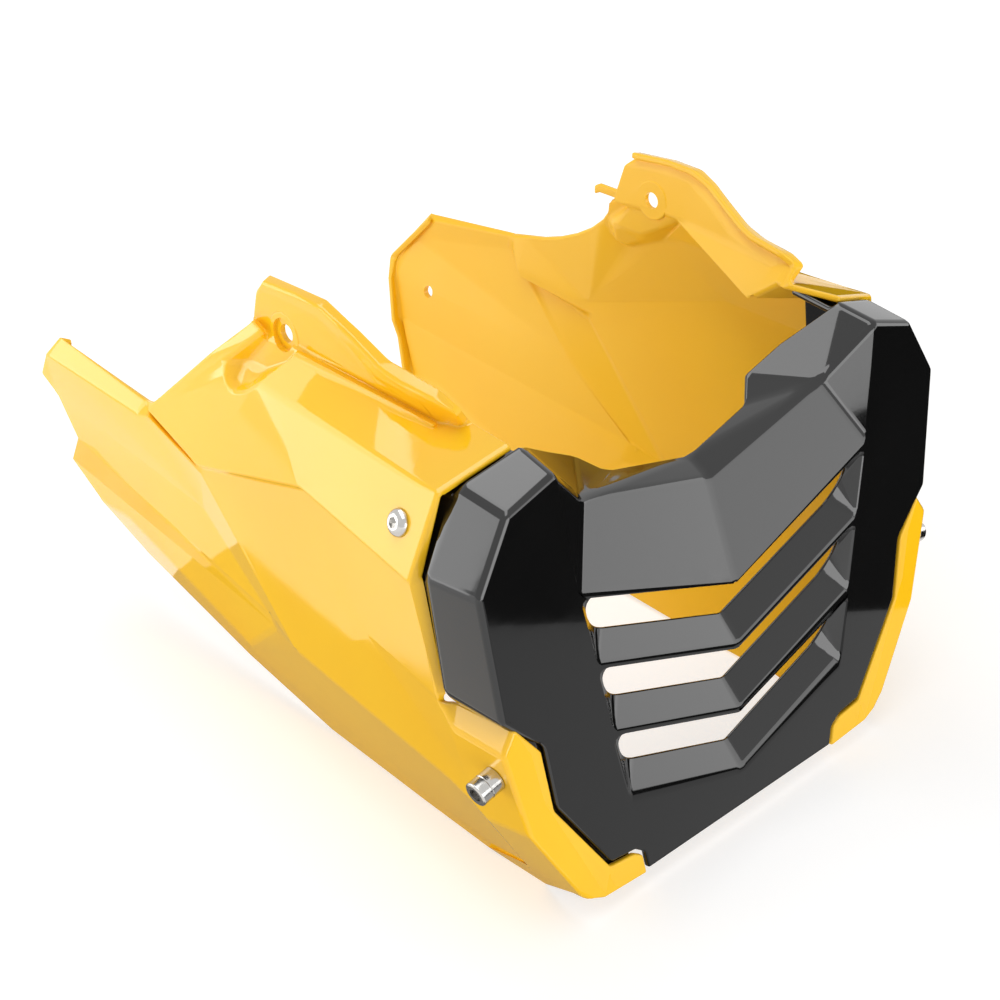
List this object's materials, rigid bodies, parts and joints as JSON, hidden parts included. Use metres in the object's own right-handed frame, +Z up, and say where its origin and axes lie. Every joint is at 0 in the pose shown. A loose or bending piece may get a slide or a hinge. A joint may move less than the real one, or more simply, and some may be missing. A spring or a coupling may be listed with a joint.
{
  "type": "engine guard fairing",
  "caption": "Belly fairing for a motorbike engine: creased gloss side panels joined by a louvred front grille, held by socket screws.",
  "frame": {"origin": "middle of the bounding box at the lowest edge of the panels", "axes": "+Y to the rear, -Y the way the grille faces, +Z up, +X to the right panel"},
  "size_m": [0.2682, 0.3457, 0.2236],
  "materials": {
    "panel_plastic": "high gloss, moulded",
    "grille_plastic": "high gloss, moulded",
    "screw_steel": "bright plated"
  },
  "bodies": {
    "root": {"left_side_panel": "panel_plastic", "right_side_panel": "panel_plastic", "front_grille": "grille_plastic", "left_button_screw": "screw_steel", "right_button_screw": "screw_steel", "left_cap_screw": "screw_steel", "right_cap_screw": "screw_steel", "left_spacer_collar": "screw_steel", "right_spacer_collar": "screw_steel"}
  },
  "joints": []
}
